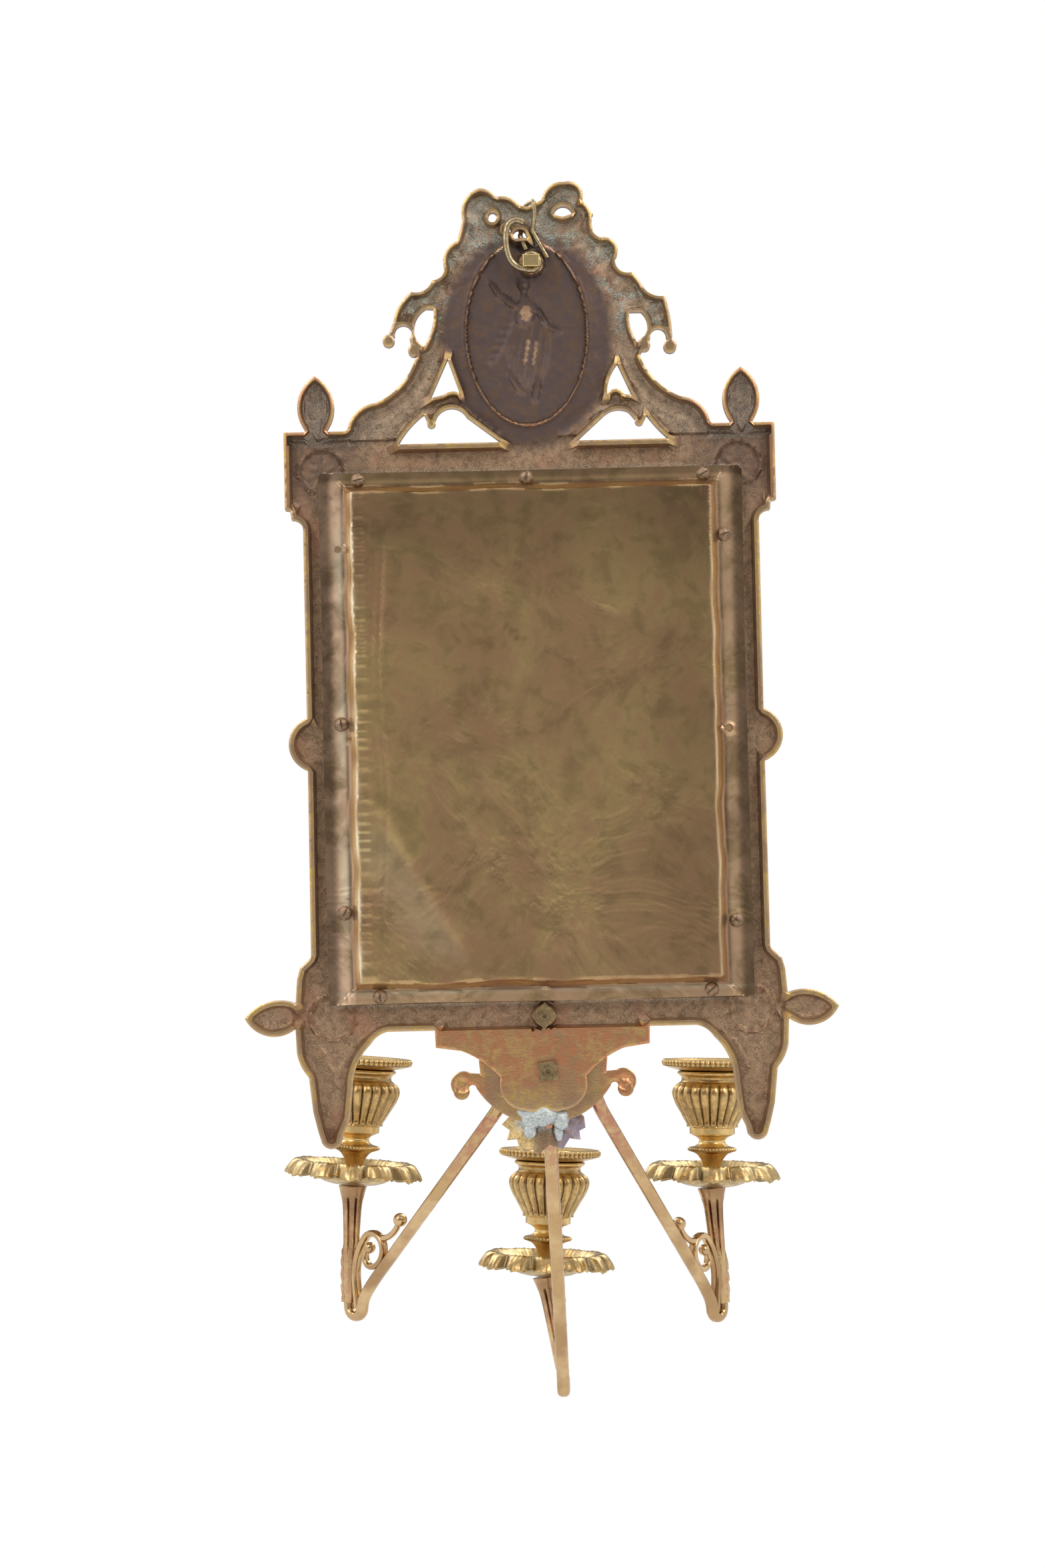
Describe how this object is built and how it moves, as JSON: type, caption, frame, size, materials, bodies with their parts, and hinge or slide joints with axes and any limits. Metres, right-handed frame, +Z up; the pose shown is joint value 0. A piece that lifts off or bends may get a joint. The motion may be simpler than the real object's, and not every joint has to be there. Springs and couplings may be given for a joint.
{
  "type": "girandole mirror",
  "caption": "Upright bevelled wall mirror in an openwork cast brass frame with a ribbon-bow crest, and scrolled candle arms sprung from its apron.",
  "frame": {"origin": "middle of the sheet pan's raised back panel, in the plane of the wall", "axes": "+Z up, -Y out of the wall the way the mirror faces, +X to the left seen from behind"},
  "size_m": [0.298, 0.1665, 0.6245],
  "materials": {
    "cast_brass": "old gilt cast brass, dark in the hollows and filed bright on the rims",
    "polished_brass": "polished, with reddish patina",
    "gilt_brass": "gilt satin",
    "sheet_brass": "tarnished rolled sheet, wrinkled and scratched",
    "bright_brass": "machined",
    "dark_brass": "dull, tarnished",
    "dull_wire": "dull drawn wire",
    "dark_steel": "dark, rusty screw heads",
    "board": "plain softwood",
    "mirror_plate": "silvered bevelled plate"
  },
  "bodies": {
    "mirror": {"frame_casting": "cast_brass", "mirror_glass": "mirror_plate", "backing_board": "board", "back_plate": "sheet_brass", "back_plate_screws": "dark_steel", "hanger_stud": "bright_brass", "hanger_nut": "bright_brass", "hanging_wire": "dull_wire", "arm_mount": "cast_brass", "mount_studs": "dark_brass", "mount_nuts": "dark_brass", "root_leaf": "cast_brass", "arm_left": "polished_brass", "horn_left": "polished_brass", "rod_left": "dark_brass", "drip_pan_left": "gilt_brass", "knop_left": "gilt_brass", "cup_left": "gilt_brass", "arm_centre": "polished_brass", "horn_centre": "polished_brass", "rod_centre": "dark_brass", "drip_pan_centre": "gilt_brass", "knop_centre": "gilt_brass", "cup_centre": "gilt_brass", "arm_right": "polished_brass", "horn_right": "polished_brass", "rod_right": "dark_brass", "drip_pan_right": "gilt_brass", "knop_right": "gilt_brass", "cup_right": "gilt_brass"},
    "hanging_ring": {"hanging_ring": "dull_wire"},
    "nozzle_left": {"nozzle_left": "gilt_brass"},
    "nozzle_centre": {"nozzle_centre": "gilt_brass"},
    "nozzle_right": {"nozzle_right": "gilt_brass"}
  },
  "joints": [
    {"name": "ring_swing", "type": "hinge", "parent": "mirror", "child": "hanging_ring", "pos_m": [-0.003, -0.0062, 0.2383], "axis": [0, 1, 0], "range_deg": [-6, 100]},
    {"name": "nozzle_left_lift", "type": "slide", "parent": "mirror", "child": "nozzle_left", "axis": [-0.0872, 0, 0.9962], "range_m": [0, 0.03]},
    {"name": "nozzle_centre_lift", "type": "slide", "parent": "mirror", "child": "nozzle_centre", "axis": [-0.0523, 0, 0.9986], "range_m": [0, 0.03]},
    {"name": "nozzle_right_lift", "type": "slide", "parent": "mirror", "child": "nozzle_right", "axis": [-0.0349, 0, 0.9994], "range_m": [0, 0.03]}
  ]
}
